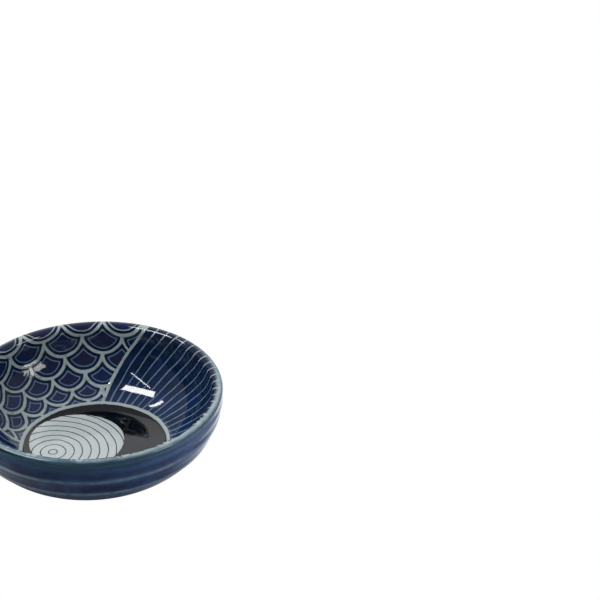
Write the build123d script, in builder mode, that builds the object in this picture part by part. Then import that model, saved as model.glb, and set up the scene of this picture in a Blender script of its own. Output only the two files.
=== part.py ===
"""Soy sauce dish: a thrown clay bowl on a turned foot ring, with its coats of glaze.

Every piece is a half section turned about Z. The glazed outline is drawn first, then the clay inside it
by the thickness of the glaze, and what is left between the two is parted into the coats.
"""

import os
from math import cos, degrees, radians, sin, tan

from build123d import *

# Driving dimensions, in millimetres and degrees
RIM_DIAMETER = 95.0  # across the lip, outside
HEIGHT = 32.0  # table to the top of the lip
WALL_THICKNESS = 3.8  # clay with its two coats, the same from the lip to the floor

WALL_LEAN = 5.4  # the straight wall under the lip leans out by this angle
UPRIGHT_RISE = 4.7  # height of the straight wall, with the lip
SHOULDER_RADIUS = 26.2  # outside curve below the straight wall
SHOULDER_TURN = 26.5  # angle that the shoulder turns through, before the belly takes over

LIP_OUTER_ROUND = 1.3
LIP_FLAT = 0.3  # level crest left between the lip's two rounds
LIP_BAND = 2.6  # the lip's own coat reaches this far down

RIDGE_DROPS = (4.7, 9.8, 17.7)  # crests of the turned ridges, along the wall below the lip
RIDGE_HEIGHT = 0.3  # a crest stands this far out of the wall
LOWEST_RUN_OUT = 3.2  # the lowest ridge runs out this far below its crest

FOOT_DIAMETER = 45.0  # outside, on the table
FOOT_WIDTH = 3.6  # face that stands on the table
FOOT_HEIGHT = 2.75  # table to the underside of the bowl
FOOT_TAPER = 12.0  # slope of both sides of the foot ring
FOOT_EDGE_ROUND = 0.5

GLAZE_THICKNESS = 0.4
GLAZE_LINE = 1.2  # the foot is bare clay below this height

# Angles and places that follow from the sizes
lean = radians(WALL_LEAN)
shoulder_end = radians(WALL_LEAN + SHOULDER_TURN)
belly_turn = 90 - WALL_LEAN - SHOULDER_TURN
foot_taper = radians(FOOT_TAPER)

# The belly runs from the end of the shoulder to the flat underside, which it meets level
shoulder_rise = SHOULDER_RADIUS * (sin(shoulder_end) - sin(lean))
shoulder_reach = SHOULDER_RADIUS * (cos(lean) - cos(shoulder_end))
belly_rise = HEIGHT - FOOT_HEIGHT - UPRIGHT_RISE - shoulder_rise
belly_radius = belly_rise / (1 - sin(shoulder_end))
belly_reach = belly_radius * cos(shoulder_end)
lip_corner_radius = RIM_DIAMETER / 2 + LIP_OUTER_ROUND * (tan(lean) + 1 / cos(lean) - 1)
underside_radius = lip_corner_radius - UPRIGHT_RISE * tan(lean) - shoulder_reach - belly_reach

# The lip's inner round takes what its outer round and its flat leave of the wall
outer_round_reach = LIP_OUTER_ROUND / tan(radians(45) - lean / 2)
inner_round_reach = WALL_THICKNESS / cos(lean) - outer_round_reach - LIP_FLAT
lip_inner_round = inner_round_reach * tan(radians(45) + lean / 2)

foot_outer_radius = FOOT_DIAMETER / 2
foot_inner_radius = foot_outer_radius - FOOT_WIDTH
foot_core_top = HEIGHT / 2  # the foot is drawn up to here, then cut off inside the wall


def upright_point(depth, height):
    """Point on the straight wall under the lip, at a depth inside the outside of the bowl."""
    radius = lip_corner_radius - (HEIGHT - height) * tan(lean) - depth / cos(lean)
    return (radius, height)


def plain_wall(depth, top):
    """Draw the wall without its ridges at a depth inside the outside, from the axis up to the top."""
    floor = Line((0, FOOT_HEIGHT + depth), (underside_radius, FOOT_HEIGHT + depth))
    belly = JernArc(floor @ 1, floor % 1, belly_radius - depth, belly_turn)
    shoulder = JernArc(belly @ 1, belly % 1, SHOULDER_RADIUS - depth, SHOULDER_TURN)
    Line(shoulder @ 1, upright_point(depth, top))


with BuildLine() as outside:
    plain_wall(depth=0, top=HEIGHT)
outside_line = outside.wire()


def beside_outside(drop, outwards):
    """Point a drop along the outside line from the lip, and outwards square to the line."""
    along = outside_line.length - drop
    place = outside_line.position_at(along, PositionMode.LENGTH)
    heading = outside_line.tangent_at(along, PositionMode.LENGTH)
    return place + Vector(heading.Y, -heading.X) * outwards


def ridged_wall(depth, top):
    """Draw the outer wall with its ridges at a depth inside the outside, from the axis up to the top."""
    run_out = RIDGE_DROPS[-1] + LOWEST_RUN_OUT
    belly_length = outside_line.length - underside_radius - run_out
    floor = Line((0, FOOT_HEIGHT + depth), (underside_radius, FOOT_HEIGHT + depth))
    belly = JernArc(floor @ 1, floor % 1, belly_radius - depth, degrees(belly_length / belly_radius))

    # From the lowest crest up: each crest, then the hollow halfway to what comes above it
    crest_drops = sorted(RIDGE_DROPS, reverse=True)
    points = [belly @ 1]
    for crest, above in zip(crest_drops, crest_drops[1:] + [LIP_OUTER_ROUND]):
        points.append(beside_outside(crest, RIDGE_HEIGHT - depth))
        points.append(beside_outside((crest + above) / 2, -depth))
    Spline(*points, tangents=(belly % 1, (sin(lean), cos(lean))))
    Line(points[-1], upright_point(depth, top))


def bowl_section(inset):
    """Half section of the bowl with its rounded lip, inside the glazed outline by inset."""
    top = HEIGHT - inset
    inner_depth = WALL_THICKNESS - inset
    with BuildSketch() as section:
        with BuildLine():
            ridged_wall(depth=inset, top=top)
            plain_wall(depth=inner_depth, top=top)
            Line(upright_point(inset, top), upright_point(inner_depth, top))
            Line((0, FOOT_HEIGHT + inset), (0, FOOT_HEIGHT + inner_depth))
        make_face()
        fillet(section.vertices().group_by(Axis.Y)[-1].sort_by(Axis.X)[0], lip_inner_round - inset)
        fillet(section.vertices().group_by(Axis.Y)[-1].sort_by(Axis.X)[-1], LIP_OUTER_ROUND - inset)
    return section.sketch


def foot_section(inset):
    """Half section of the foot ring up into the wall, its sides inside the glazed outline by inset."""
    side = inset / cos(foot_taper)
    spread = foot_core_top * tan(foot_taper)
    middle = WALL_THICKNESS / 2
    with BuildSketch() as section:
        with BuildLine():
            Polyline(
                (foot_inner_radius + side, 0),
                (foot_outer_radius - side, 0),
                (foot_outer_radius - side + spread, foot_core_top),
                (foot_inner_radius + side - spread, foot_core_top),
                close=True,
            )
        make_face()
        fillet(section.vertices().group_by(Axis.Y)[0], FOOT_EDGE_ROUND)
        with BuildLine():
            plain_wall(depth=middle, top=HEIGHT)
            Polyline(upright_point(middle, HEIGHT), (0, HEIGHT), (0, FOOT_HEIGHT + middle))
        make_face(mode=Mode.SUBTRACT)
    return section.sketch


with BuildSketch(Plane.XZ) as glazed_section:
    add(bowl_section(inset=0))
    add(foot_section(inset=0))

with BuildSketch(Plane.XZ) as bare_foot_section:
    add(foot_section(inset=0))
    with Locations((foot_outer_radius, 0)):
        Rectangle(RIM_DIAMETER, 2 * GLAZE_LINE, mode=Mode.INTERSECT)

with BuildSketch(Plane.XZ) as clay_section:
    add(bowl_section(inset=GLAZE_THICKNESS))
    add(foot_section(inset=GLAZE_THICKNESS))
    add(bare_foot_section.sketch_local)

with BuildSketch(Plane.XZ) as lip_section:
    add(glazed_section.sketch_local)
    add(clay_section.sketch_local, mode=Mode.SUBTRACT)
    with Locations((0, HEIGHT)):
        Rectangle(2 * RIM_DIAMETER, 2 * LIP_BAND, mode=Mode.INTERSECT)

with BuildSketch(Plane.XZ) as wall_coats:
    add(glazed_section.sketch_local)
    add(clay_section.sketch_local, mode=Mode.SUBTRACT)
    add(lip_section.sketch_local, mode=Mode.SUBTRACT)

# From the axis out: the coat inside the foot ring, the one in the well and the one on the outside
base_face, inner_face, outer_face = wall_coats.sketch.faces().sort_by(Axis.X)

with BuildPart() as clay_body:
    revolve(clay_section.sketch.faces(), Axis.Z)
clay_body.part.label = "clay_body"

with BuildPart() as inner_glaze:
    revolve(inner_face, Axis.Z)
inner_glaze.part.label = "inner_glaze"

with BuildPart() as lip_glaze:
    revolve(lip_section.sketch.faces(), Axis.Z)
lip_glaze.part.label = "lip_glaze"

with BuildPart() as outer_glaze:
    revolve(outer_face, Axis.Z)
outer_glaze.part.label = "outer_glaze"

with BuildPart() as base_glaze:
    revolve(base_face, Axis.Z)
base_glaze.part.label = "base_glaze"

os.makedirs("parts", exist_ok=True)
export_step(clay_body.part, "parts/clay_body.step")
export_step(inner_glaze.part, "parts/inner_glaze.step")
export_step(lip_glaze.part, "parts/lip_glaze.step")
export_step(outer_glaze.part, "parts/outer_glaze.step")
export_step(base_glaze.part, "parts/base_glaze.step")
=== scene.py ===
"""Soy sauce dish: glazed stoneware, turned and finished around its construction.

Each coat of glaze is a section, drawn as a chain of edges and turned about the axis. The sections run from
the axis under the foot, round the outside, over the lip and down the well to the axis again, always with
the open air on their right.
"""

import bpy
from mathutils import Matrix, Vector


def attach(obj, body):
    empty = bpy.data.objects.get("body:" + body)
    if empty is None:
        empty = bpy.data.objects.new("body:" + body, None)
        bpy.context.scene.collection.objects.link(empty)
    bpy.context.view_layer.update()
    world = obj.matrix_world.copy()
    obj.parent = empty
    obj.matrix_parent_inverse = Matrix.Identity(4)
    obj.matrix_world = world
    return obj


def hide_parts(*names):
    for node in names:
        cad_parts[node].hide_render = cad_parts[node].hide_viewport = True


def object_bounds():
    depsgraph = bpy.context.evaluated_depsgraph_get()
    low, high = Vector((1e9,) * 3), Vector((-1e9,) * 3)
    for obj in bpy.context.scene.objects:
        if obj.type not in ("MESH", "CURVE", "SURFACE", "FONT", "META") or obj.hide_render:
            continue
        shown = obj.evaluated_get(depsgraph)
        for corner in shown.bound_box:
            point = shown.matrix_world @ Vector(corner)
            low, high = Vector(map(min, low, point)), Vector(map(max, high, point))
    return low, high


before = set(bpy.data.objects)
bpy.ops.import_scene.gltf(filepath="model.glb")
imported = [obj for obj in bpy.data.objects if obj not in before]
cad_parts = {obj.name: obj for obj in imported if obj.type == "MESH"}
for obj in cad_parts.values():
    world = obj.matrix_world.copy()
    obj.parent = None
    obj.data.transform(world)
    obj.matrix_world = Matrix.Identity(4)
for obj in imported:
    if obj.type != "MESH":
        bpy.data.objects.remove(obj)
CAD_BOX = [list(corner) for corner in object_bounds()]
RIM_WIDTH = CAD_BOX[1][0] - CAD_BOX[0][0]

from math import asin, ceil, cos, hypot, pi, radians, sin, tan
from types import SimpleNamespace

import bpy
import numpy as np
from bpy.props import FloatProperty, FloatVectorProperty, IntProperty, PointerProperty
from mathutils import Quaternion, Vector

bl_info = {
    "name": "Soy sauce dish",
    "version": (1, 0, 0),
    "blender": (4, 5, 0),
    "location": "View3D > Sidebar > Dish",
    "description": "Turns a small stoneware dish and finishes it with coloured glazes",
    "category": "Add Mesh",
}

MM = 0.001
BODY = "root"

# How closely the section of each coat is drawn, and in how many steps it is turned
WELL_SPACING, LIP_SPACING, OUTSIDE_SPACING, BASE_SPACING = 0.42 * MM, 0.28 * MM, 0.45 * MM, 0.35 * MM
EDGE_SPACING = 0.1 * MM
FINE_STEPS, OUTSIDE_STEPS, PLAIN_STEPS = 640, 384, 256
MERGE_DISTANCE = 1e-4 * MM
SMOOTH_ANGLE = radians(50)
LEAST_RADIUS = 5 * MM  # nearer to the axis, a turn is reckoned as at this radius

# Hand of the drawing, in millimetres where no other unit is given
RELIEF_FADE = (3, 9)  # the relief begins and is full at these distances below the lip's crest
SOFT_EDGE = 0.1  # a drawn shape blends into the next one this far to either side of its edge
RUN_OUT = 0.3  # a raised line runs out this far past its edge
MIDDLE_SCALE = 9  # width of a scale about halfway down the wall
FIRST_ROW = 0.42  # start of the topmost row of scales, in scale widths
SWAY_LENGTH = 14 * MM  # the outlines on the floor sway over about this length, in metres

LIP_HIGHLIGHT_TURN = radians(-35)  # the lip's crest is palest at the front right, a painted highlight
GLAZE_IOR = 1.52
TURNING_PITCH = 0.8 * MM  # from one turning mark on the bare foot to the next

# Places where the glaze outside ran thin: direction in degrees, then drop, width and height in millimetres,
# and how much thinner it is there
GLAZE_RUNS = (
    (-107, 11.5, 1.6, 1.3, 0.6),
    (-96, 14.0, 1.2, 3.5, 0.45),
    (-87, 12.3, 0.5, 0.4, 0.9),
    (-60, 13.5, 1.5, 2.0, 0.35),
    (-20, 12.0, 1.8, 1.5, 0.5),
    (35, 14.0, 1.2, 3.5, 0.45),
    (80, 11.8, 0.6, 0.5, 0.8),
    (120, 13.0, 1.6, 1.6, 0.5),
    (165, 14.5, 1.2, 3.0, 0.4),
    (215, 12.0, 1.6, 1.3, 0.5),
)

# Columns of a section's table
RADIUS, HEIGHT, HEADING, ALONG, WIND, SHOWN = range(6)
MEASURES = {"heading": HEADING, "along": ALONG, "wind": WIND, "shown": SHOWN}
# Measures that only the modelling needs
WORKING_MEASURES = ("heading", "wind", "shown", "column")

# Lights: name, azimuth and elevation in degrees, distance and size in metres, power in watts, roll in degrees
SOFTBOXES = (
    ("key_softbox", -93, 60, 1.0, (0.43, 0.16), 4.3, 52),
    ("strip_light", -117, 48.5, 1.0, (0.48, 0.02), 0.55, -12),
    ("window_light", -60.5, 49.7, 1.0, (0.26, 0.04), 0.6, -38),
    ("back_board", 0, 34, 1.3, (1.3, 0.65), 1.9, 0),
    ("side_board", 115, 18, 1.2, (0.5, 0.25), 2.6, 0),
    ("front_strip", 180, 3, 0.8, (1.6, 0.08), 0.6, 0),
)


def srgb(red, green, blue):
    """Linear colour of an sRGB colour given in steps of 255."""
    steps = np.array([red, green, blue]) / 255
    return tuple(np.where(steps <= 0.04045, steps / 12.92, ((steps + 0.055) / 1.055) ** 2.4))


def length(name, description, default):
    """A size in metres that a user can change."""
    return FloatProperty(name=name, description=description, default=default, unit="LENGTH", precision=5)


def angle(name, description, default):
    """An angle that a user gives in degrees."""
    return FloatProperty(name=name, description=description, default=radians(default), subtype="ANGLE")


def colour(name, description, default):
    """A colour that a user can pick."""
    return FloatVectorProperty(
        name=name, description=description, default=default, subtype="COLOR", size=3, min=0, max=1
    )


def place(name, description, default):
    """A point on the floor of the well that a user can move."""
    return FloatVectorProperty(name=name, description=description, default=default, unit="LENGTH", size=2)


def count(name, description, default):
    """A whole number that a user can change."""
    return IntProperty(name=name, description=description, default=default)


def fraction(name, description, default):
    """A share between nought and one that a user can change."""
    return FloatProperty(name=name, description=description, default=default, min=0, max=1, subtype="FACTOR")


class DishForm(bpy.types.PropertyGroup):
    """Sizes of the dish, as it is constructed."""

    rim_radius: length("Rim radius", "Axis to the widest part of the lip", RIM_WIDTH / 2)
    height: length("Height", "Table to the top of the lip", CAD_BOX[1][2])
    wall: length("Wall", "Clay with its two coats of glaze", 3.8 * MM)
    lean: angle("Lean", "How far the wall under the lip leans out", 5.4)
    upright: length("Upright", "Height of the straight wall with the lip", 4.7 * MM)
    shoulder_radius: length("Shoulder radius", "Outside curve below the straight wall", 26.2 * MM)
    shoulder_turn: angle("Shoulder turn", "Angle that the shoulder turns through", 26.5)
    lip_round: length("Lip round", "Outer round of the lip", 1.3 * MM)
    lip_flat: length("Lip flat", "Level crest between the lip's two rounds", 0.3 * MM)
    lip_band: length("Lip band", "How far down the lip's own coat reaches", 2.6 * MM)
    ridge_drops: FloatVectorProperty(
        name="Ridge drops",
        description="Crests of the turned ridges, along the wall below the lip",
        default=(4.7 * MM, 9.8 * MM, 17.7 * MM),
        unit="LENGTH",
        size=3,
        precision=5,
    )
    ridge_height: length("Ridge height", "How far a crest stands out of the wall", 0.3 * MM)
    ridge_run_out: length("Ridge run-out", "Where the lowest ridge ends below its crest", 3.2 * MM)
    foot_radius: length("Foot radius", "Outside of the foot on the table", 22.5 * MM)
    foot_width: length("Foot width", "Face that stands on the table", 3.6 * MM)
    foot_height: length("Foot height", "Table to the underside of the bowl", 2.75 * MM)
    foot_taper: angle("Foot taper", "Slope of the sides of the foot", 12)
    foot_edge: length("Foot edge", "Round of the foot's lower edges", 0.5 * MM)
    foot_root: length("Foot root", "Round that the glaze leaves where the foot meets the bowl", 0.9 * MM)
    glaze: length("Glaze", "Thickness of a coat", 0.4 * MM)
    glaze_line: length("Glaze line", "The foot is bare below this height", 1.2 * MM)


class DishDecoration(bpy.types.PropertyGroup):
    """Sizes and counts of the drawn decoration."""

    panel_pairs: count("Panel pairs", "Pairs of a striped and a scaled panel", 2)
    stripes: count("Stripes", "Fine lines in a full turn of the wall", 64)
    scales: count("Scales", "Scales in a full turn of the wall", 18)
    panel_start: angle("Panel start", "Where a striped panel begins at the lip", -22.5)
    twist: angle("Twist", "How far the panels turn from the lip to the floor", 22)
    stripe_line: length("Stripe line", "Width of a fine line", 0.62 * MM)
    scale_line: length("Scale line", "Width of a scale's outline", 1.15 * MM)
    border_line: length("Border line", "Width of the lines round the panels and the roundel", 1.3 * MM)
    core_line: length("Core line", "Width of the line inside a scale", 0.45 * MM)
    core_inset: length("Core inset", "Outline of a scale to the line inside it", 1.9 * MM)
    roundel_radius: length("Roundel radius", "Black roundel on the floor of the well", 27 * MM)
    moon_radius: length("Moon radius", "White disc in the roundel", 17.5 * MM)
    moon_place: place("Moon place", "Centre of the white disc", (-7 * MM, 3 * MM))
    ripple_place: place("Ripple place", "Centre of the ripples on the disc", (-15 * MM, -4 * MM))
    ripple_pitch: length("Ripple pitch", "From one ripple to the next", 3.1 * MM)
    ripple_line: length("Ripple line", "Width of a ripple", 0.42 * MM)
    relief: length("Relief", "How far the drawn lines stand up", 0.13 * MM)
    waver: length("Waver", "How far a hand-drawn line strays", 0.14 * MM)
    stripe_stray: length("Stripe stray", "How far a stripe strays from its course", 0.32 * MM)


class DishColours(bpy.types.PropertyGroup):
    """Colours of the glazes and the clay."""

    ink: colour("Ink blue", "Blue glaze where it is thick", srgb(9, 28, 56))
    cobalt: colour("Cobalt", "Blue glaze where it is thinner", srgb(25, 55, 108))
    violet: colour("Violet", "Blue glaze where it fills a scale", srgb(40, 44, 78))
    line: colour("Pale line", "Raised lines", srgb(188, 202, 204))
    fine_line: colour("Fine line", "Fine lines, tinted by the blue round them", srgb(114, 140, 170))
    white: colour("White", "White slip", srgb(221, 230, 230))
    white_thick: colour("Thick white", "White slip where the glaze over it is thick", srgb(202, 214, 216))
    black: colour("Black", "Black glaze", srgb(9, 9, 8))
    outside: colour("Outside blue", "Glaze on the outside", srgb(45, 60, 108))
    outside_thin: colour("Outside thin", "Glaze on the outside where it is thin", srgb(74, 116, 170))
    ridge: colour("Ridge", "Glaze over the crest of a ridge", srgb(146, 176, 207))
    # The lip colour is the glaze's pale crest, made whiter to carry the painted highlight on the crest
    lip: colour("Lip", "Glaze over the crest of the lip", srgb(174, 196, 206))
    teal: colour("Teal", "Glaze just under the lip", srgb(70, 107, 122))
    pooled: colour("Pooled", "Dark green line where the glaze pools below the crest", srgb(26, 54, 52))
    clay: colour("Clay", "Bare fired clay", srgb(176, 152, 126))
    clay_dark: colour("Dark clay", "Bare fired clay where it is darker", srgb(150, 124, 100))
    grit: colour("Grit", "Dark grains in the clay", srgb(96, 74, 56))


class DishStage(bpy.types.PropertyGroup):
    """Camera, floor and lights."""

    lens: FloatProperty(name="Lens", description="Focal length", default=118.17, unit="CAMERA")
    camera_place: FloatVectorProperty(
        name="Camera place",
        description="Where the camera stands",
        default=(0.07535, -0.59837, 0.4171),
        unit="LENGTH",
    )
    camera_pitch: angle("Camera pitch", "How far the camera looks down", 30.22)
    floor_size: length("Floor size", "Side of the floor", 8.0)
    floor_front: fraction("Floor in front", "Light the floor in front sends back", 0.14)
    floor_behind: fraction("Floor behind", "Light the floor behind sends back", 0.8)
    room_front: fraction("Room in front", "Brightness of the room by the camera", 0.05)
    room_behind: fraction("Room behind", "Brightness of the room behind", 0.35)


# Sections of the dish


def worked_out(form):
    """Sizes that follow from the form."""
    end = form.lean + form.shoulder_turn
    shoulder_rise = form.shoulder_radius * (sin(end) - sin(form.lean))
    shoulder_reach = form.shoulder_radius * (cos(form.lean) - cos(end))
    belly_radius = (form.height - form.foot_height - form.upright - shoulder_rise) / (1 - sin(end))
    corner_radius = form.rim_radius + form.lip_round * (tan(form.lean) + 1 / cos(form.lean) - 1)
    belly_top_radius = corner_radius - form.upright * tan(form.lean) - shoulder_reach
    outer_reach = form.lip_round / tan(pi / 4 - form.lean / 2)
    inner_reach = form.wall / cos(form.lean) - outer_reach - form.lip_flat
    return SimpleNamespace(
        belly_radius=belly_radius,
        belly_turn=pi / 2 - end,
        underside_radius=belly_top_radius - belly_radius * cos(end),
        outer_reach=outer_reach,
        inner_reach=inner_reach,
        inner_round=inner_reach * tan(pi / 4 + form.lean / 2),
        band_height=form.height - form.lip_band,
        band_radius=corner_radius - form.lip_band * tan(form.lean),
        band_slant=form.lip_band / cos(form.lean),
        inner_slant=(form.upright - form.wall * sin(form.lean)) / cos(form.lean),
        floor_height=form.foot_height + form.wall,
    )


def trace(start, heading, strokes, spacing):
    """Points along strokes that are each a length and a turn: rows of radius, height and heading."""
    radius, height = start
    rows = [(radius, height, heading)]
    for run, turn in strokes:
        steps = max(1, ceil(run / spacing))
        bend = turn / steps
        chord = run / steps if turn == 0 else 2 * run / abs(turn) * sin(abs(bend) / 2)
        for _ in range(steps):
            radius += chord * cos(heading + bend / 2)
            height += chord * sin(heading + bend / 2)
            heading += bend
            rows.append((radius, height, heading))
    return np.array(rows)


def walked_back(line):
    """The same line from its end to its start."""
    return line[::-1] + (0, 0, pi)


def distance_along(line):
    """Distance of each point from the first, along the line."""
    return np.concatenate([[0], np.cumsum(np.hypot(*np.diff(line[:, :2], axis=0).T))])


def measured(line, first_along=0.0):
    """The line with its distance, its distance in turns of the axis, and a mark that it shows."""
    run = distance_along(line)
    middle = np.maximum((line[1:, RADIUS] + line[:-1, RADIUS]) / 2, LEAST_RADIUS)
    wind = np.concatenate([[0], np.cumsum(np.diff(run) / middle)])
    return np.column_stack([line, run + first_along, wind, np.ones(len(line))])


def set_back(section, depth, every):
    """The hidden side of a coat: every so many points, moved to their left, from the end to the start."""
    keep = sorted({*range(0, len(section), every), len(section) - 1}, reverse=True)
    back = section[keep].copy()
    back[:, RADIUS] -= depth * np.sin(back[:, HEADING])
    back[:, HEIGHT] += depth * np.cos(back[:, HEADING])
    back[:, SHOWN] = 0
    return back


def clay_under(coat, form):
    """The clay under a coat, in the order of the coat."""
    return set_back(coat, form.glaze, every=3)[::-1]


def rolled_edge(end, side, form, spacing):
    """Points of the half round in which a coat ends on the bare foot, without its two ends."""
    run = pi * form.glaze / 2
    edge = trace(end[:2], end[HEADING], [(run, side * pi)], spacing)[1:-1]
    return np.column_stack([edge, np.tile(end[ALONG:], (len(edge), 1))])


def well_section(form, spacing):
    """Down the well, from the lip's band to the axis."""
    sizes = worked_out(form)
    strokes = [
        (sizes.inner_slant - sizes.band_slant, 0),
        ((form.shoulder_radius - form.wall) * form.shoulder_turn, -form.shoulder_turn),
        ((sizes.belly_radius - form.wall) * sizes.belly_turn, -sizes.belly_turn),
        (sizes.underside_radius, 0),
    ]
    start = (sizes.band_radius - form.wall / cos(form.lean), sizes.band_height)
    line = trace(start, 1.5 * pi - form.lean, strokes, spacing)
    line[-1, RADIUS] = 0
    return measured(line)


def lip_section(form, spacing):
    """Over the lip, from its band outside to its band inside, where the distance is nought."""
    sizes = worked_out(form)
    strokes = [
        (sizes.band_slant - sizes.outer_reach, 0),
        (form.lip_round * (pi / 2 + form.lean), pi / 2 + form.lean),
        (form.lip_flat, 0),
        (sizes.inner_round * (pi / 2 - form.lean), pi / 2 - form.lean),
        (sizes.band_slant - sizes.inner_reach, 0),
    ]
    line = trace((sizes.band_radius, sizes.band_height), pi / 2 - form.lean, strokes, spacing)
    section = measured(line, -distance_along(line)[-1])
    section[:, WIND] -= section[-1, WIND]
    return section


def ridge_lift(form, drop):
    """Height of the ridges at a drop along the wall below the lip."""
    crests = list(form.ridge_drops)
    hollows = [(above + crest) / 2 for above, crest in zip([form.lip_round] + crests, crests)]
    hollows.append(crests[-1] + form.ridge_run_out)
    marks = sorted(crests + hollows)
    share = np.interp(drop, marks, [float(mark in crests) for mark in marks])
    return form.ridge_height * share * share * (3 - 2 * share)


def outside_section(form, spacing):
    """Up the outside, from the glaze line on the foot to the lip's band, measured as a drop from the lip."""
    sizes = worked_out(form)
    slope = form.foot_taper
    # The root of the foot touches the belly and the side of the foot
    belly_centre = form.foot_height + sizes.belly_radius
    reach = sizes.belly_radius + form.foot_root
    side = form.foot_radius + form.foot_root / cos(slope) - sizes.underside_radius + belly_centre * tan(slope)
    landing = asin(side / hypot(reach, reach * tan(slope))) - slope
    root_end = belly_centre - reach * cos(landing) + form.foot_root * sin(slope)
    root_turn = pi / 2 - slope - landing
    strokes = [
        ((form.upright - form.lip_band) / cos(form.lean), 0),
        (form.shoulder_radius * form.shoulder_turn, -form.shoulder_turn),
        (sizes.belly_radius * (sizes.belly_turn - landing), landing - sizes.belly_turn),
        (form.foot_root * root_turn, root_turn),
        ((root_end - form.glaze_line) / cos(slope), 0),
    ]
    line = trace((sizes.band_radius, sizes.band_height), 1.5 * pi - form.lean, strokes, spacing)
    drop = distance_along(line) + sizes.band_slant
    lift = ridge_lift(form, drop)
    line[:, RADIUS] -= lift * np.sin(line[:, HEADING])
    line[:, HEIGHT] += lift * np.cos(line[:, HEADING])
    section = measured(walked_back(line))
    section[:, ALONG] = drop[::-1]
    return section


def base_section(form, spacing):
    """Under the dish, from the axis to the glaze line inside the foot."""
    slope = form.foot_taper
    climb = form.foot_height - form.glaze_line
    root_turn = pi / 2 - slope
    root_reach = form.foot_root * tan(root_turn / 2)
    line_radius = form.foot_radius - form.foot_width - form.glaze_line * tan(slope)
    flat = line_radius - climb * tan(slope) - root_reach
    strokes = [(flat, 0), (form.foot_root * root_turn, -root_turn), (climb / cos(slope) - root_reach, 0)]
    return measured(trace((0, form.foot_height), 0, strokes, spacing))


def bare_foot_section(form, spacing):
    """The bare face of the foot, from the glaze line inside it to the one outside."""
    slope = form.foot_taper
    turn = pi / 2 - slope
    edge_reach = form.foot_edge * tan(turn / 2)
    side = form.glaze_line / cos(slope) - edge_reach
    strokes = [
        (side, 0),
        (form.foot_edge * turn, turn),
        (form.foot_width - 2 * edge_reach, 0),
        (form.foot_edge * turn, turn),
        (side, 0),
    ]
    start = (form.foot_radius - form.foot_width - form.glaze_line * tan(slope), form.glaze_line)
    return measured(trace(start, slope - pi / 2, strokes, spacing))


# Turned pieces


def turned(name, section, steps, closed=False):
    """Draw a section as a chain of edges, turn it about the axis and close its seam and poles."""
    bpy.ops.object.select_all(action="DESELECT")
    bpy.ops.mesh.primitive_plane_add(size=MM)
    piece = bpy.context.active_object
    piece.name = piece.data.name = name
    bpy.ops.object.mode_set(mode="EDIT")
    bpy.ops.mesh.select_mode(type="VERT")
    bpy.ops.mesh.merge(type="CENTER")
    points = section[:, [RADIUS, HEIGHT]]
    bpy.ops.transform.translate(value=(points[0, 0], 0, points[0, 1]))
    for step in np.diff(points, axis=0):
        bpy.ops.mesh.extrude_vertices_move(TRANSFORM_OT_translate={"value": (step[0], 0, step[1])})
    bpy.ops.object.mode_set(mode="OBJECT")
    write_measures(piece, {key: section[:, column] for key, column in MEASURES.items()})
    if closed:
        ends = (0, len(points) - 1)
        for vertex in piece.data.vertices:
            vertex.select = vertex.index in ends
        bpy.ops.object.mode_set(mode="EDIT")
        bpy.ops.mesh.edge_face_add()
        bpy.ops.object.mode_set(mode="OBJECT")
    screw = piece.modifiers.new("turning", "SCREW")
    screw.angle = 2 * pi
    screw.steps = screw.render_steps = steps
    bpy.ops.object.modifier_apply(modifier=screw.name)
    bpy.ops.object.mode_set(mode="EDIT")
    bpy.ops.mesh.select_all(action="SELECT")
    bpy.ops.mesh.remove_doubles(threshold=MERGE_DISTANCE)
    bpy.ops.mesh.normals_make_consistent(inside=False)
    bpy.ops.object.mode_set(mode="OBJECT")
    bpy.ops.object.shade_smooth_by_angle(angle=SMOOTH_ANGLE)
    return piece


def write_measures(piece, measures):
    """Keep numbers for each point of the mesh under their names, for the materials to read."""
    for name, values in measures.items():
        layer = piece.data.attributes.get(name) or piece.data.attributes.new(name, "FLOAT", "POINT")
        layer.data.foreach_set("value", np.asarray(values, dtype=np.float32))


def read_measure(piece, name):
    """The numbers that the points of the mesh hold under a name."""
    values = np.empty(len(piece.data.vertices), dtype=np.float32)
    piece.data.attributes[name].data.foreach_get("value", values)
    return values.astype(float)


def read_points(piece):
    """Places of the points of the mesh, one row each."""
    values = np.empty(3 * len(piece.data.vertices), dtype=np.float32)
    piece.data.vertices.foreach_get("co", values)
    return values.reshape(-1, 3).astype(float)


def write_points(piece, points):
    """Move the points of the mesh."""
    piece.data.vertices.foreach_set("co", np.ascontiguousarray(points, dtype=np.float32).ravel())
    piece.data.update()


def direction(points):
    """Angle of each point round the axis, from the right towards the back."""
    return np.arctan2(points[:, 1], points[:, 0])


def raise_relief(piece, height):
    """Move the points that show outwards by a height each."""
    points = read_points(piece)
    heading = read_measure(piece, "heading")
    lift = height * read_measure(piece, "shown")
    turn = direction(points)
    points[:, 0] += lift * np.sin(heading) * np.cos(turn)
    points[:, 1] += lift * np.sin(heading) * np.sin(turn)
    points[:, 2] -= lift * np.cos(heading)
    write_points(piece, points)


def finished(piece, node, material):
    """Put a piece in the frame in place of its construction, with its glaze."""
    for name in WORKING_MEASURES:
        if name in piece.data.attributes:
            piece.data.attributes.remove(piece.data.attributes[name])
    piece.data.materials.clear()
    piece.data.materials.append(material)
    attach(piece, BODY)
    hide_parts(node)


# Drawn decoration, as distances in millimetres


def eased(value, low, high):
    """Smooth step from nought at low to one at high."""
    share = np.clip((value - low) / (high - low), 0, 1)
    return share * share * (3 - 2 * share)


def waver(turn, along, seed):
    """A slow uneven swing between about minus one and one, such as a hand gives to a line."""
    swing = np.sin(5 * turn + 0.21 * along + seed) + 0.7 * np.sin(13 * turn - 0.37 * along + 2.3 * seed)
    return (swing + 0.5 * np.sin(29 * turn + 0.55 * along + 4.1 * seed)) / 2.2


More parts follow.
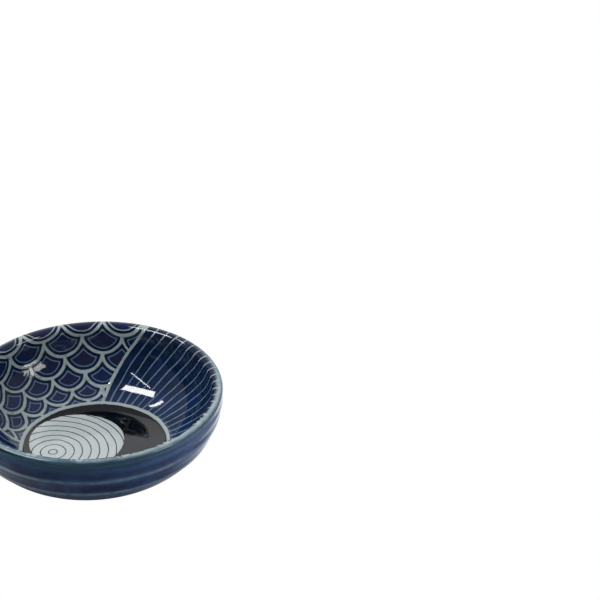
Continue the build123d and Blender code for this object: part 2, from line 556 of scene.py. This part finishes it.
def on_left(turn):
    """One on the left of the dish and nought on the rest, with a soft edge."""
    return eased(-np.cos(turn), 0.3, 0.75)


def twist_at(height, form, decoration):
    """How far the panels have turned at a height in the well."""
    sizes = worked_out(form)
    depth = np.clip((form.height - height) / (form.height - sizes.floor_height), 0, 1)
    return decoration.twist * depth


def twist_columns(piece, form, decoration):
    """Turn the mesh of a coat about the axis unevenly, so that its edges follow the stripes."""
    points = read_points(piece)
    column = direction(points)
    write_measures(piece, {"column": column})
    along = read_measure(piece, "along") / MM
    radius = np.hypot(points[:, 0], points[:, 1])
    turn = column + twist_at(points[:, 2], form, decoration)
    turn += decoration.stripe_stray * waver(column, along, 1.7) / np.maximum(radius, LEAST_RADIUS)
    points[:, 0] = radius * np.cos(turn)
    points[:, 1] = radius * np.sin(turn)
    write_points(piece, points)


def raised_line(distance, half_width):
    """A rounded raised line, at a distance from its middle."""
    return 1 - eased(distance, 0.5 * half_width, half_width + RUN_OUT)


def centred(across, row):
    """Distance from the middle of the nearest scale in a row, in scale widths."""
    shifted = across - 0.5 * np.mod(row, 2)
    return shifted - np.round(shifted)


def draw_wall(piece, form, decoration):
    """Measure the panels, stripes and scales at each point, and return how far their lines stand up."""
    points = read_points(piece)
    along = read_measure(piece, "along") / MM
    wind = read_measure(piece, "wind")
    radius = np.hypot(points[:, 0], points[:, 1]) / MM
    turn = direction(points)
    stray = decoration.waver / MM
    untwisted = read_measure(piece, "column") - decoration.panel_start

    # Panels: below nought in the stripes, above it in the scales
    pair = 2 * pi / decoration.panel_pairs
    into_pair = np.mod(untwisted, pair)
    into_panel = np.mod(into_pair, pair / 2)
    to_edge = np.minimum(into_panel, pair / 2 - into_panel)
    panel = np.where(into_pair < pair / 2, -to_edge, to_edge) * radius

    # Stripes
    pitch = 2 * pi / decoration.stripes
    from_stripe = np.mod(untwisted + pitch / 2, pitch) - pitch / 2
    stripe = np.abs(from_stripe) * radius + 0.5 * stray * waver(turn, along, 4.4)

    # Scales: overlapping rows of rounds, each row half a scale on from the last
    across = turn * decoration.scales / (2 * pi) + stray / MIDDLE_SCALE * waver(turn, along, 0.4)
    down = wind * decoration.scales / (2 * pi) + stray / MIDDLE_SCALE * waver(turn, along, 3.1) + FIRST_ROW
    row = np.floor(2 * down)
    upper = centred(across, row), down - row / 2
    lower = centred(across, row + 1), down - (row + 1) / 2
    within = np.hypot(*upper) < 0.5
    x = np.where(within, upper[0], lower[0])
    y = np.where(within, upper[1], lower[1])
    own_edge = 0.5 - np.hypot(x, y)
    above_edge = np.hypot(np.abs(x) - 0.5, y + 0.5) - 0.5
    scale_width = 2 * pi * radius / decoration.scales
    scale = np.minimum(own_edge, above_edge) * scale_width + stray * waver(turn, along, 5.2)

    write_measures(piece, {"panel": panel, "stripe": stripe, "scale": scale})
    bold = decoration.scale_line / MM / 2
    domed = 0.5 * eased(scale, bold + RUN_OUT, bold + 2.2)
    lift = np.where(panel > 0, np.maximum(raised_line(scale, bold), domed), 0)
    return np.maximum(lift, raised_line(np.abs(panel), bold))


def below_crest(piece, form):
    """Distance in millimetres down the inside from the lip's crest, below nought on its outside."""
    sizes = worked_out(form)
    inside_run = sizes.inner_round * (pi / 2 - form.lean) + sizes.band_slant - sizes.inner_reach
    return (read_measure(piece, "along") + inside_run) / MM


def draw_roundel(piece, decoration):
    """Measure the roundel, its disc and the ripples at each point, and return the raised parts."""
    points = read_points(piece)
    stray = decoration.waver / MM

    def inside(radius, middle, seed):
        away = np.hypot(points[:, 0] - middle[0], points[:, 1] - middle[1])
        return (radius - away) / MM + stray * waver(points[:, 0] / SWAY_LENGTH, points[:, 1] / MM, seed)

    roundel = inside(decoration.roundel_radius, (0, 0), 2.2)
    moon = inside(decoration.moon_radius, decoration.moon_place, 0.9)
    ripple = -inside(decoration.ripple_pitch / 2, decoration.ripple_place, 6.4)
    write_measures(piece, {"roundel": roundel, "moon": moon, "ripple": ripple})
    half_border = decoration.border_line / MM / 2
    ring = raised_line(np.abs(roundel), half_border)
    return eased(roundel, 0, 0.4), np.maximum(ring, 0.5 * eased(moon, -0.2, 0.6))


def lip_glazing(piece, form):
    """How the glaze over the lip is worn, thin, pooled and blue at each point, with painted highlights in how
    pale its crest is.
    """
    turn = direction(read_points(piece))
    crest = below_crest(piece, form)
    left = on_left(turn)
    back = eased(np.sin(turn), 0.0, 0.8)
    # Where the crest is palest, at the front right: a painted highlight
    bare = np.exp(-(((turn - LIP_HIGHLIGHT_TURN) / radians(30)) ** 2))
    # The pale crest is narrower at the back and less pale there. It is paler at the left and the right,
    # palest at the front right, and reaches further over the outer round at the front right and the left:
    # painted highlights on the crest
    narrowed = crest + 1.1 * back
    thin = 0.2 + 0.42 * np.abs(np.cos(turn)) + 0.35 * bare - 0.15 * back
    return {
        "crest": narrowed,
        "thin": thin + 0.2 * waver(turn, crest, 0.7),
        "outer": narrowed + 0.05 + 0.45 * np.cos(turn - LIP_HIGHLIGHT_TURN) + 0.2 * left,
        "pool": 0.45 - 0.35 * np.cos(turn) + 0.9 * left + 0.2 * waver(turn, crest, 2.9),
        "blue": 0.3 + 0.4 * eased(np.cos(turn), 0.0, 0.9) * eased(-crest, 1.0, 3.0),
    }


def outside_glazing(piece, form):
    """How the glaze outside runs thin, breaks over the ridges and turns to teal at each point, with a painted
    sheen on the left ridges, a painted shade low on the front and painted light under the lowest ridge.
    """
    turn = direction(read_points(piece))
    drop = read_measure(piece, "along") / MM
    left = on_left(turn)
    right = eased(np.cos(turn), 0.0, 0.9)

    # Pale lines over the two lower ridges, paler on the left with a painted sheen, and worn to white at the
    # front left
    level = drop + 0.25 - 0.25 * np.sin(turn) + 0.18 * waver(turn, drop, 0.8)
    front_left = eased(-np.cos(turn), 0.1, 0.7) * eased(-np.sin(turn), 0, 0.7)
    ridge, worn = np.zeros((2, len(drop)))
    for number, crest in enumerate(form.ridge_drops[1:]):
        strength = 0.82 + 0.2 * number + (0.3 - 0.15 * number) * waver(turn, 0 * drop, 3.0 * number)
        # On the left the lines are made paler: a painted sheen
        strength = strength + (0.7 - 0.4 * number) * left
        off_crest = level + 0.6 * number + (0.25 + 0.3 * number) * left - crest / MM
        spread = np.where(off_crest > 0, 0.6 + 0.9 * number, 0.6)
        ridge = np.maximum(ridge, strength * np.exp(-((off_crest / spread) ** 2)))
        bare = (1 - 0.4 * number) * front_left
        worn = np.maximum(worn, bare * np.exp(-((off_crest / 0.5) ** 2)))

    # Thin on the ridges, the first one mostly on the right; darker low on the front, a painted shade; paler
    # just under the lowest ridge, painted light thrown up from the table
    first_hollow = (form.ridge_drops[0] + form.ridge_drops[1]) / 2 / MM
    to_right = np.maximum(0.3 + 0.9 * np.cos(turn + radians(30)), 0)
    share = ridge_lift(form, level * MM) / form.ridge_height
    share = share * np.where(drop < first_hollow, to_right, 1)
    # Darker low on the front: painted shade under the overhang
    thick = eased(np.sin(0.15 - turn), 0.85, 0.99) * eased(drop, 9, 12)
    thin = 0.25 - 0.15 * thick + 0.6 * share ** 1.5 + 0.12 * waver(turn, drop, 1.1)
    # Paler just under the lowest ridge: painted light thrown up from the table
    thin = thin + 0.8 * eased(drop, 18, 19.5) * (1 - eased(drop, 22, 26))

    # Thin where it ran, and the ridges fade there
    for run_turn, run_drop, width, height, amount in GLAZE_RUNS:
        away = np.angle(np.exp(1j * (turn - radians(run_turn)))) * form.rim_radius / MM
        run = np.exp(-((away / width) ** 2) - ((drop - run_drop) / height) ** 2)
        thin = thin + amount * run
        ridge = ridge * (1 - 0.6 * run)
    return {"ridge": ridge, "worn": worn, "thin": thin, "teal": 1 - eased(drop + right, 2.6, 4.4)}


# Materials


def feed(tree, node, inputs):
    """Set or link the inputs of a node, by name or number."""
    for key, value in inputs.items():
        if isinstance(value, bpy.types.NodeSocket):
            tree.links.new(value, node.inputs[key])
        else:
            node.inputs[key].default_value = value


def put(tree, kind, inputs=None, **settings):
    """Add a node with its settings and its inputs."""
    node = tree.nodes.new("ShaderNode" + kind)
    for name, value in settings.items():
        setattr(node, name, value)
    feed(tree, node, inputs or {})
    return node


def calc(tree, operation, first, second=0.0):
    """Result of a sum on two numbers."""
    return put(tree, "Math", {0: first, 1: second}, operation=operation).outputs[0]


def plus(tree, first, second):
    """Two numbers added."""
    return calc(tree, "ADD", first, second)


def minus(tree, first, second):
    """The second number taken from the first."""
    return calc(tree, "SUBTRACT", first, second)


def times(tree, first, second):
    """Two numbers multiplied."""
    return calc(tree, "MULTIPLY", first, second)


def ranged(tree, value, low, high, first, last, interpolation="LINEAR"):
    """A number that runs from first to last as the value runs from low to high."""
    ends = {0: value, 1: low, 2: high, 3: first, 4: last}
    return put(tree, "MapRange", ends, interpolation_type=interpolation).outputs[0]


def rise(tree, value, low, high):
    """Smooth step from nought at low to one at high."""
    return ranged(tree, value, low, high, 0.0, 1.0, "SMOOTHSTEP")


def fall(tree, value, low, high):
    """Smooth step from one at low to nought at high."""
    return ranged(tree, value, low, high, 1.0, 0.0, "SMOOTHSTEP")


def stroke(tree, value, width, soft=0.16):
    """A drawn line as wide as given, where the value is a distance from its middle."""
    return fall(tree, value, width / 2 - soft / 2, width / 2 + soft / 2)


def blended(tree, share, first, second):
    """Mix of two colours."""
    colours = [part if isinstance(part, bpy.types.NodeSocket) else (*part, 1) for part in (first, second)]
    mixed = put(tree, "Mix", {0: share, 6: colours[0], 7: colours[1]}, data_type="RGBA")
    return mixed.outputs[2]


def measure(tree, name):
    """A number that the points of the mesh hold."""
    return put(tree, "Attribute", attribute_name=name).outputs["Fac"]


def position(tree):
    """Place on the piece."""
    return put(tree, "TexCoord").outputs["Object"]


def noise(tree, scale, detail=2.0, roughness=0.5):
    """Cloudy noise over the piece."""
    inputs = {"Vector": position(tree), "Scale": scale, "Detail": detail, "Roughness": roughness}
    return put(tree, "TexNoise", inputs).outputs["Fac"]


def new_group(name, inputs, outputs):
    """An empty node group with its sockets; returns the tree and its two end nodes."""
    tree = bpy.data.node_groups.new(name, "ShaderNodeTree")
    for socket, kind, default in inputs:
        made = tree.interface.new_socket(socket, in_out="INPUT", socket_type="NodeSocket" + kind)
        made.default_value = default
    for socket, kind in outputs:
        tree.interface.new_socket(socket, in_out="OUTPUT", socket_type="NodeSocket" + kind)
    return tree, tree.nodes.new("NodeGroupInput"), tree.nodes.new("NodeGroupOutput")


def use_group(tree, group, inputs=None):
    """Place a node group in a material."""
    return put(tree, "Group", inputs, node_tree=group)


def glaze_cloud():
    """Group: a glaze that runs thinner and thicker, with fine specks of thick colour."""
    name = "Glaze cloud"
    if name in bpy.data.node_groups:
        return bpy.data.node_groups[name]
    black = (0, 0, 0, 1)
    inputs = [
        ("Thick", "Color", black),
        ("Thin", "Color", black),
        ("Share", "Float", 0.5),
        ("Scale", "Float", 120.0),
    ]
    tree, given, result = new_group(name, inputs, [("Colour", "Color")])
    patches = noise(tree, given.outputs["Scale"], 4, 0.6)
    thin = plus(tree, given.outputs["Share"], ranged(tree, patches, 0.3, 0.7, -0.35, 0.35))
    specks = fall(tree, noise(tree, 2600.0, 1), 0.24, 0.36)
    thin = minus(tree, thin, times(tree, specks, 0.5))
    share = put(tree, "Clamp", {0: thin}).outputs[0]
    feed(tree, result, {"Colour": blended(tree, share, given.outputs["Thick"], given.outputs["Thin"])})
    return tree


def glaze_skin():
    """Group: the melted surface of a glaze, with its gloss and its slow unevenness."""
    name = "Glaze skin"
    if name in bpy.data.node_groups:
        return bpy.data.node_groups[name]
    tree, given, result = new_group(
        name, [("Dullness", "Float", 0.08)], [("Roughness", "Float"), ("Height", "Float")]
    )
    swell = noise(tree, 230.0, 1)
    peel = noise(tree, 900.0, 1)
    pits = fall(tree, noise(tree, 1700.0, 0), 0.16, 0.24)
    height = plus(tree, swell, times(tree, peel, 0.03))
    height = minus(tree, height, times(tree, pits, 0.06))
    dull = ranged(tree, noise(tree, 320.0, 3), 0.35, 0.75, -0.01, 0.02)
    feed(tree, result, {"Roughness": plus(tree, given.outputs["Dullness"], dull), "Height": height})
    return tree


def wall_drawing(decoration):
    """Group: masks of the lines drawn on the wall, and how thin the blue runs between them."""
    name = "Wall drawing"
    if name in bpy.data.node_groups:
        return bpy.data.node_groups[name]
    masks = [(mask, "Float") for mask in ("Bold", "Fine", "Thin", "Filled")]
    tree, _, result = new_group(name, [], masks)
    panel, stripe, scale = (measure(tree, part) for part in ("panel", "stripe", "scale"))
    in_scales = rise(tree, panel, -SOFT_EDGE, SOFT_EDGE)
    in_stripes = fall(tree, panel, -SOFT_EDGE, SOFT_EDGE)
    inset = decoration.core_inset / MM

    # Lines, worn here and there
    outline = times(tree, stroke(tree, scale, decoration.scale_line / MM), in_scales)
    border = stroke(tree, calc(tree, "ABSOLUTE", panel), decoration.border_line / MM)
    from_core = calc(tree, "ABSOLUTE", minus(tree, scale, inset))
    core = times(tree, stroke(tree, from_core, decoration.core_line / MM), in_scales)
    stripes = times(tree, stroke(tree, stripe, decoration.stripe_line / MM), in_stripes)
    worn = rise(tree, noise(tree, 420.0, 3), 0.28, 0.5)
    worn = plus(tree, times(tree, worn, 0.35), 0.65)
    bold = times(tree, calc(tree, "MAXIMUM", outline, border), worn)
    fine = times(tree, calc(tree, "MAXIMUM", core, stripes), worn)

    # Glaze between the lines, thinner deep in the well, and the violet that fills a scale
    pooled = times(tree, rise(tree, scale, 0.8, 3.6), in_scales)
    between = times(tree, rise(tree, stripe, 0.4, 2.0), in_stripes)
    depth = rise(tree, measure(tree, "along"), 3 * MM, 26 * MM)
    thin = plus(tree, times(tree, pooled, 0.5), times(tree, between, 0.3))
    thin = plus(tree, thin, times(tree, depth, 0.4))
    filled = times(tree, rise(tree, scale, inset - 0.1, inset + 0.3), in_scales)
    filled = times(tree, filled, rise(tree, noise(tree, 70.0, 1), 0.3, 0.6))
    feed(tree, result, {"Bold": bold, "Fine": fine, "Thin": thin, "Filled": filled})
    return tree


def new_material(name):
    """A material with its shader; returns the material, its tree and the shader."""
    material = bpy.data.materials.new(name)
    material.use_nodes = True
    tree = material.node_tree
    return material, tree, tree.nodes["Principled BSDF"]


def give_skin(tree, shader, dullness, strength=0.07):
    """Gloss and unevenness of a glaze."""
    skin = use_group(tree, glaze_skin(), {"Dullness": dullness})
    bump = put(tree, "Bump", {"Strength": strength, "Distance": 0.3 * MM, "Height": skin.outputs["Height"]})
    feed(tree, shader, {"Roughness": skin.outputs["Roughness"], "Normal": bump.outputs[0], "IOR": GLAZE_IOR})


def cloud(tree, thick, thin, share, scale):
    """Colour of a glaze from its thick and thin colours."""
    inputs = {"Thick": (*thick, 1), "Thin": (*thin, 1), "Share": share, "Scale": scale}
    return use_group(tree, glaze_cloud(), inputs).outputs["Colour"]


def wall_colour(tree, colours, drawing):
    """Blue wall with its fine and bold lines."""
    blue = cloud(tree, colours.ink, colours.cobalt, drawing.outputs["Thin"], 150.0)
    filled = blended(tree, drawing.outputs["Filled"], blue, colours.violet)
    fine = blended(tree, drawing.outputs["Fine"], filled, colours.fine_line)
    return blended(tree, drawing.outputs["Bold"], fine, colours.line)


def well_material(colours, decoration):
    """Decorated glaze in the well."""
    material, tree, shader = new_material("well_glaze_blue")
    wall = wall_colour(tree, colours, use_group(tree, wall_drawing(decoration)))
    roundel, moon, ripple = (measure(tree, part) for part in ("roundel", "moon", "ripple"))
    half_pitch = decoration.ripple_pitch / MM / 2
    from_ripple = calc(tree, "PINGPONG", ripple, half_pitch)
    ripples = stroke(tree, from_ripple, decoration.ripple_line / MM)
    white = cloud(tree, colours.white_thick, colours.white, 0.75, 130.0)
    rippled = blended(tree, ripples, white, colours.ink)
    black = cloud(tree, colours.black, colours.ink, 0.2, 140.0)
    floor = blended(tree, rise(tree, moon, -SOFT_EDGE, SOFT_EDGE), black, rippled)
    whole = blended(tree, rise(tree, roundel, -SOFT_EDGE, SOFT_EDGE), wall, floor)
    ring = stroke(tree, calc(tree, "ABSOLUTE", roundel), decoration.border_line / MM)
    feed(tree, shader, {"Base Color": blended(tree, ring, whole, colours.line)})
    give_skin(tree, shader, 0.045)
    return material


def lip_material(colours, decoration):
    """Glaze that breaks pale over the lip, with painted highlights where the crest is paler, and the lines of
    the wall running on to it.
    """
    material, tree, shader = new_material("lip_glaze_pale")
    crest = measure(tree, "crest")
    drawing = use_group(tree, wall_drawing(decoration))
    wall = wall_colour(tree, colours, drawing)
    uneven = ranged(tree, noise(tree, 230.0, 1), 0.3, 0.7, -0.35, 0.35)
    shifted = plus(tree, crest, uneven)
    # Pale crest over teal; its share, the "thin" measure, also holds the painted highlights on the crest
    worn = cloud(tree, colours.teal, colours.lip, measure(tree, "thin"), 110.0)
    crest_worn = fall(tree, shifted, 0.0, 1.1)
    inside = blended(tree, crest_worn, wall, worn)
    outside = cloud(tree, colours.teal, colours.outside_thin, measure(tree, "blue"), 200.0)
    outer = plus(tree, measure(tree, "outer"), times(tree, uneven, 0.4))
    whole = blended(tree, fall(tree, outer, -1.5, -0.2), inside, outside)
    from_pool = calc(tree, "ABSOLUTE", plus(tree, outer, 1.5))
    pool = times(tree, fall(tree, from_pool, 0.2, 0.75), measure(tree, "pool"))
    pooled = blended(tree, pool, whole, colours.pooled)
    lines = calc(tree, "MAXIMUM", drawing.outputs["Bold"], times(tree, drawing.outputs["Fine"], 0.8))
    lines = times(tree, lines, rise(tree, shifted, -1.0, 0.4))
    feed(tree, shader, {"Base Color": blended(tree, lines, pooled, colours.line)})
    give_skin(tree, shader, plus(tree, times(tree, crest_worn, 0.12), 0.06), strength=0.025)
    return material


def outside_material(colours):
    """Dark blue glaze outside, paler over the ridges."""
    material, tree, shader = new_material("outside_glaze_blue")
    blue = cloud(tree, colours.outside, colours.outside_thin, measure(tree, "thin"), 90.0)
    broken = rise(tree, noise(tree, 300.0, 4), 0.3, 0.6)
    broken = plus(tree, times(tree, broken, 0.5), 0.5)
    ridge = times(tree, measure(tree, "ridge"), broken)
    ridged = blended(tree, ridge, blue, colours.ridge)
    ridged = blended(tree, measure(tree, "worn"), ridged, colours.white)
    feed(tree, shader, {"Base Color": blended(tree, measure(tree, "teal"), ridged, colours.teal)})
    give_skin(tree, shader, 0.1, strength=0.035)
    return material


def base_material(colours):
    """Dark blue glaze inside the foot."""
    material, tree, shader = new_material("base_glaze_blue")
    blue = cloud(tree, colours.outside, colours.outside_thin, measure(tree, "thin"), 110.0)
    feed(tree, shader, {"Base Color": blue})
    give_skin(tree, shader, 0.1)
    return material


def clay_material(colours):
    """Bare stoneware with dark grains."""
    material, tree, shader = new_material("bare_clay_buff")
    where = put(tree, "SeparateXYZ", {0: position(tree)})
    flat = put(tree, "CombineXYZ", {0: where.outputs["X"], 1: where.outputs["Y"]})
    radius = put(tree, "VectorMath", {0: flat.outputs[0]}, operation="LENGTH").outputs["Value"]
    uneven = times(tree, noise(tree, 160.0, 1), 2.5)
    marks = calc(tree, "SINE", plus(tree, times(tree, radius, 2 * pi / TURNING_PITCH), uneven))
    tone = plus(tree, noise(tree, 190.0, 4, 0.65), times(tree, marks, 0.1))
    buff = blended(tree, rise(tree, tone, 0.3, 0.72), colours.clay_dark, colours.clay)
    grains = fall(tree, noise(tree, 1500.0, 2), 0.3, 0.4)
    grit = blended(tree, times(tree, grains, 0.7), buff, colours.grit)
    grain_height = noise(tree, 1800.0, 4, 0.7)
    height = plus(tree, grain_height, times(tree, marks, 0.25))
    bump = put(tree, "Bump", {"Strength": 0.5, "Distance": 0.1 * MM, "Height": height})
    dull = ranged(tree, grain_height, 0.3, 0.7, 0.72, 0.92)
    feed(tree, shader, {"Base Color": grit, "Roughness": dull, "Normal": bump.outputs[0]})
    return material


def floor_material(stage):
    """White floor that lights the dish gently, and that a view from below looks through."""
    material, tree, shader = new_material("floor_white")
    tree.nodes.remove(shader)
    where = put(tree, "SeparateXYZ", {0: position(tree)})
    right, back = where.outputs["X"], where.outputs["Y"]
    away = put(tree, "VectorMath", {0: position(tree)}, operation="LENGTH").outputs["Value"]

    # It sends back little light in front of the dish and at the left behind it, and more elsewhere
    sideways = calc(tree, "MAXIMUM", times(tree, right, 0.65), times(tree, right, -0.2))
    behind = rise(tree, plus(tree, back, sideways), -60 * MM, 40 * MM)
    far_left = times(tree, fall(tree, right, -40 * MM, 20 * MM), 0.75)
    shaded = times(tree, rise(tree, back, 0.0, 40 * MM), far_left)
    behind = times(tree, behind, minus(tree, 1.0, shaded))
    grey = blended(tree, behind, (stage.floor_front,) * 3, (stage.floor_behind,) * 3)
    matt = put(tree, "BsdfDiffuse", {"Color": grey})

    # It glows a little round the dish and under it, and more on the right, where the wall mirrors it
    near = times(tree, fall(tree, away, 30 * MM, 90 * MM), 0.03)
    under_foot = times(tree, fall(tree, away, 20 * MM, 24 * MM), 0.42)
    aslant = minus(tree, right, times(tree, back, 0.5))
    beside = times(tree, fall(tree, aslant, 55 * MM, 68 * MM), 0.75)
    beside = times(tree, beside, rise(tree, right, 5 * MM, 30 * MM))
    sheen = times(tree, rise(tree, back, -40 * MM, 30 * MM), beside)
    glow = put(tree, "Emission", {"Strength": plus(tree, sheen, plus(tree, near, under_foot))})
    lit = put(tree, "AddShader", {0: matt.outputs[0], 1: glow.outputs[0]})

    # The camera sees it plain white from above, and looks through it from below
    to_camera = put(tree, "LightPath").outputs["Is Camera Ray"]
    bright = put(tree, "Emission", {"Color": (1, 1, 1, 1), "Strength": 1.0})
    seen = put(tree, "MixShader", {0: to_camera, 1: lit.outputs[0], 2: bright.outputs[0]})
    below = put(tree, "NewGeometry").outputs["Backfacing"]
    clear = put(tree, "BsdfTransparent")
    whole = put(tree, "MixShader", {0: below, 1: seen.outputs[0], 2: clear.outputs[0]})
    feed(tree, tree.nodes["Material Output"], {"Surface": whole.outputs[0]})
    return material


def room_world(stage):
    """Soft light of the room, dim on the camera's side."""
    world = bpy.data.worlds.new("room")
    world.use_nodes = True
    tree = world.node_tree
    ahead = put(tree, "SeparateXYZ", {0: put(tree, "TexCoord").outputs["Generated"]}).outputs["Y"]
    behind = rise(tree, ahead, -0.6, 0.3)
    grey = blended(tree, behind, (stage.room_front,) * 3, (stage.room_behind,) * 3)
    feed(tree, tree.nodes["Background"], {"Color": grey})
    return world


# Operators


class DISH_OT_clay_body(bpy.types.Operator):
    """Turn the clay of the dish, which shows on its foot"""

    bl_idname = "dish.clay_body"
    bl_label = "Clay body"

    def execute(self, context):
        form = context.scene.dish_form
        # Only the foot shows, so the clay under the coats is drawn more coarsely
        coats = [
            clay_under(base_section(form, 0.4 * MM), form),
            bare_foot_section(form, 0.12 * MM),
            clay_under(outside_section(form, 0.4 * MM), form),
            clay_under(lip_section(form, 0.3 * MM), form),
            clay_under(well_section(form, 2 * MM), form),
        ]
        piece = turned("clay_foot", np.vstack(coats), PLAIN_STEPS)
        finished(piece, "clay_body", clay_material(context.scene.dish_colours))
        return {"FINISHED"}


class DISH_OT_well_glaze(bpy.types.Operator):
    """Turn the coat in the well and draw its decoration"""

    bl_idname = "dish.well_glaze"
    bl_label = "Well glaze"

    def execute(self, context):
        form = context.scene.dish_form
        decoration = context.scene.dish_decoration
        face = well_section(form, WELL_SPACING)
        piece = turned("well_coat", np.vstack([set_back(face, form.glaze, every=9), face]), FINE_STEPS)
        twist_columns(piece, form, decoration)
        wall = draw_wall(piece, form, decoration) * eased(below_crest(piece, form), *RELIEF_FADE)
        on_floor, roundel = draw_roundel(piece, decoration)
        raise_relief(piece, decoration.relief * np.where(on_floor > 0, roundel, np.maximum(wall, roundel)))
        material = well_material(context.scene.dish_colours, decoration)
        finished(piece, "inner_glaze", material)
        return {"FINISHED"}


class DISH_OT_lip_glaze(bpy.types.Operator):
    """Turn the pale coat over the lip"""

    bl_idname = "dish.lip_glaze"
    bl_label = "Lip glaze"

    def execute(self, context):
        form = context.scene.dish_form
        decoration = context.scene.dish_decoration
        face = lip_section(form, LIP_SPACING)
        section = np.vstack([face, set_back(face, form.glaze, every=4)])
        piece = turned("lip_coat", section, FINE_STEPS, closed=True)
        twist_columns(piece, form, decoration)
        wall = draw_wall(piece, form, decoration) * eased(below_crest(piece, form), *RELIEF_FADE)
        write_measures(piece, lip_glazing(piece, form))
        raise_relief(piece, decoration.relief * wall)
        material = lip_material(context.scene.dish_colours, decoration)
        finished(piece, "lip_glaze", material)
        return {"FINISHED"}


class DISH_OT_outside_glaze(bpy.types.Operator):
    """Turn the coat on the outside with its ridges"""

    bl_idname = "dish.outside_glaze"
    bl_label = "Outside glaze"

    def execute(self, context):
        form = context.scene.dish_form
        face = outside_section(form, OUTSIDE_SPACING)
        start = np.concatenate([walked_back(face[:1, :ALONG])[0], face[0, ALONG:]])
        foot_edge = rolled_edge(start, -1, form, EDGE_SPACING)[::-1]
        section = np.vstack([face, set_back(face, form.glaze, every=5), foot_edge])
        piece = turned("outside_coat", section, OUTSIDE_STEPS, closed=True)
        write_measures(piece, outside_glazing(piece, form))
        material = outside_material(context.scene.dish_colours)
        finished(piece, "outer_glaze", material)
        return {"FINISHED"}


class DISH_OT_base_glaze(bpy.types.Operator):
    """Turn the coat under the dish, inside the foot"""

    bl_idname = "dish.base_glaze"
    bl_label = "Base glaze"

    def execute(self, context):
        form = context.scene.dish_form
        face = base_section(form, BASE_SPACING)
        edge = rolled_edge(face[-1], 1, form, EDGE_SPACING)
        piece = turned("base_coat", np.vstack([face, edge, set_back(face, form.glaze, every=6)]), PLAIN_STEPS)
        turn = direction(read_points(piece))
        along = read_measure(piece, "along") / MM
        foot = (form.foot_radius - form.foot_width) / MM
        swing = 0.1 * waver(turn, along, 2.6) * eased(along, 3, 12)
        write_measures(piece, {"thin": 0.5 - 0.4 * eased(along, foot - 4, foot) + swing})
        material = base_material(context.scene.dish_colours)
        finished(piece, "base_glaze", material)
        return {"FINISHED"}


def add_softbox(name, azimuth, elevation, distance, size, power, roll):
    """An area light that looks at the dish; azimuth is from the back towards the right."""
    turn, tilt = radians(azimuth), radians(elevation)
    aim = Vector((0, 0, CAD_BOX[1][2] / 2))
    stand = Vector((sin(turn) * cos(tilt), cos(turn) * cos(tilt), sin(tilt))) * distance + aim
    facing = (aim - stand).to_track_quat("-Z", "Y") @ Quaternion((0, 0, 1), radians(roll))
    bpy.ops.object.light_add(type="AREA", location=stand, rotation=facing.to_euler())
    light = bpy.context.active_object
    light.name = name
    light.visible_camera = False
    light.data.shape = "RECTANGLE"
    light.data.size, light.data.size_y = size
    light.data.energy = power


class DISH_OT_stage(bpy.types.Operator):
    """Set up the floor, the lights and the camera"""

    bl_idname = "dish.stage"
    bl_label = "Floor, lights and camera"

    def execute(self, context):
        stage = context.scene.dish_stage
        bpy.ops.object.select_all(action="DESELECT")
        bpy.ops.mesh.primitive_plane_add(size=stage.floor_size)
        floor = context.active_object
        floor.name = "floor"
        floor.data.materials.append(floor_material(stage))

        for softbox in SOFTBOXES:
            add_softbox(*softbox)
        context.scene.world = room_world(stage)

        rotation = (pi / 2 - stage.camera_pitch, 0, 0)
        bpy.ops.object.camera_add(location=stage.camera_place, rotation=rotation)
        camera = context.active_object
        camera.name = "camera"
        camera.data.lens = stage.lens
        camera.data.clip_start = 0.01
        context.scene.camera = camera
        context.scene.view_settings.view_transform = "Standard"
        return {"FINISHED"}


class DISH_PT_panel(bpy.types.Panel):
    """Lists the pieces of the dish and the stage"""

    bl_idname = "DISH_PT_panel"
    bl_label = "Soy sauce dish"
    bl_space_type = "VIEW_3D"
    bl_region_type = "UI"
    bl_category = "Dish"

    def draw(self, context):
        for operator in PIECE_OPERATORS + [DISH_OT_stage]:
            self.layout.operator(operator.bl_idname)
        for settings in SETTINGS:
            box = self.layout.box()
            group = getattr(context.scene, settings)
            for name in group.bl_rna.properties.keys():
                if name not in ("rna_type", "name"):
                    box.prop(group, name)


PIECE_OPERATORS = [
    DISH_OT_clay_body,
    DISH_OT_well_glaze,
    DISH_OT_lip_glaze,
    DISH_OT_outside_glaze,
    DISH_OT_base_glaze,
]
SETTINGS = {
    "dish_form": DishForm,
    "dish_decoration": DishDecoration,
    "dish_colours": DishColours,
    "dish_stage": DishStage,
}
CLASSES = [*SETTINGS.values(), *PIECE_OPERATORS, DISH_OT_stage, DISH_PT_panel]


def register():
    """Register the classes and hang their settings on the scene."""
    for each in CLASSES:
        bpy.utils.register_class(each)
    for name, group in SETTINGS.items():
        setattr(bpy.types.Scene, name, PointerProperty(type=group))


def unregister():
    """Take the settings off the scene and the classes out again."""
    for name in SETTINGS:
        delattr(bpy.types.Scene, name)
    for each in reversed(CLASSES):
        bpy.utils.unregister_class(each)


def main():
    """Make the dish and its stage."""
    register()
    bpy.ops.dish.clay_body()
    bpy.ops.dish.well_glaze()
    bpy.ops.dish.lip_glaze()
    bpy.ops.dish.outside_glaze()
    bpy.ops.dish.base_glaze()
    bpy.ops.dish.stage()


if __name__ == "__main__":
    main()
